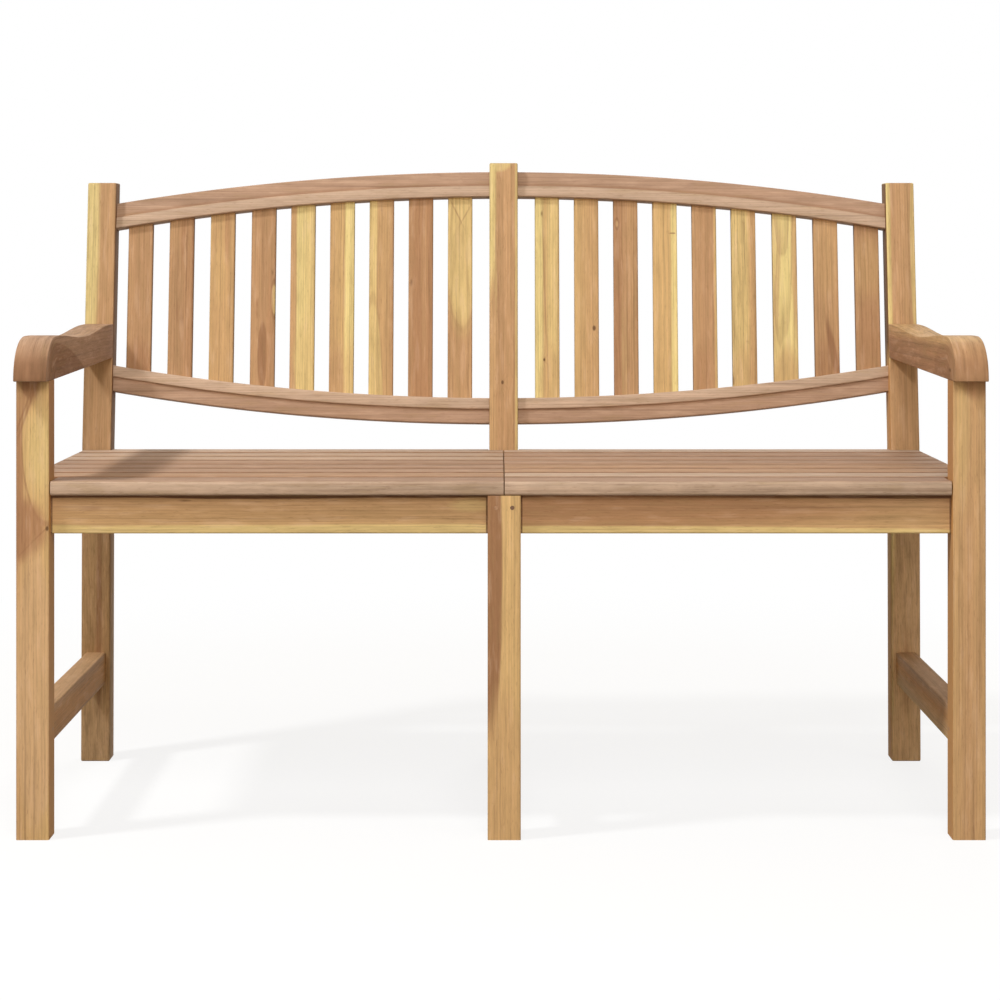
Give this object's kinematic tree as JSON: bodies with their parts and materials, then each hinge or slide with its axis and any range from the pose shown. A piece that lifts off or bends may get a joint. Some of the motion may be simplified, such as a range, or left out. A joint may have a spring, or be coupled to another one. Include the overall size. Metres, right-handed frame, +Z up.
{
  "type": "teak garden bench",
  "caption": "Rigid slatted teak garden bench with armrests, a gently arched slatted back and a middle support, for sitting outdoors.",
  "frame": {"origin": "centre of the bench's box at floor level, where the feet rest", "axes": "+X to the right of someone who faces the front, +Y to the back of the bench, +Z up"},
  "size_m": [1.2, 0.6284, 0.857],
  "materials": {
    "teak_honey": "satin",
    "teak_tan": "satin",
    "teak_pink": "satin",
    "teak_sapwood": "satin",
    "teak_pin": "satin",
    "steel": "satin"
  },
  "bodies": {
    "root": {"front_leg_left": "teak_honey", "front_leg_right": "teak_honey", "front_leg_middle": "teak_honey", "stretcher_left": "teak_honey", "stretcher_right": "teak_honey", "stretcher_middle": "teak_honey", "seat_rail_left": "teak_honey", "seat_rail_right": "teak_honey", "seat_bearer_middle": "teak_honey", "rear_post_left": "teak_tan", "rear_post_right": "teak_tan", "rear_post_middle": "teak_tan", "armrest_left": "teak_tan", "armrest_right": "teak_tan", "front_apron_left": "teak_tan", "rear_rail_left": "teak_tan", "rear_rail_right": "teak_tan", "front_apron_right": "teak_pink", "top_rail_left": "teak_pink", "top_rail_right": "teak_pink", "lower_rail_left": "teak_pink", "lower_rail_right": "teak_pink", "back_slat_left_1": "teak_sapwood", "back_slat_left_2": "teak_pink", "back_slat_left_3": "teak_tan", "back_slat_left_4": "teak_honey", "back_slat_left_5": "teak_sapwood", "back_slat_left_6": "teak_tan", "back_slat_left_7": "teak_honey", "back_slat_left_8": "teak_pink", "back_slat_left_9": "teak_tan", "back_slat_right_1": "teak_sapwood", "back_slat_right_2": "teak_honey", "back_slat_right_3": "teak_pink", "back_slat_right_4": "teak_honey", "back_slat_right_5": "teak_pink", "back_slat_right_6": "teak_sapwood", "back_slat_right_7": "teak_sapwood", "back_slat_right_8": "teak_tan", "back_slat_right_9": "teak_tan", "seat_slat_left_1": "teak_pink", "seat_slat_left_2": "teak_pink", "seat_slat_left_3": "teak_pink", "seat_slat_left_4": "teak_pink", "seat_slat_left_5": "teak_pink", "seat_slat_left_6": "teak_pink", "seat_slat_left_7": "teak_pink", "seat_slat_left_8": "teak_pink", "seat_slat_right_1": "teak_pink", "seat_slat_right_2": "teak_pink", "seat_slat_right_3": "teak_pink", "seat_slat_right_4": "teak_pink", "seat_slat_right_5": "teak_pink", "seat_slat_right_6": "teak_pink", "seat_slat_right_7": "teak_pink", "seat_slat_right_8": "teak_pink", "tenon_pins": "teak_pin", "assembly_bolts": "steel", "barrel_nuts": "steel", "slat_screws": "steel"}
  },
  "joints": []
}
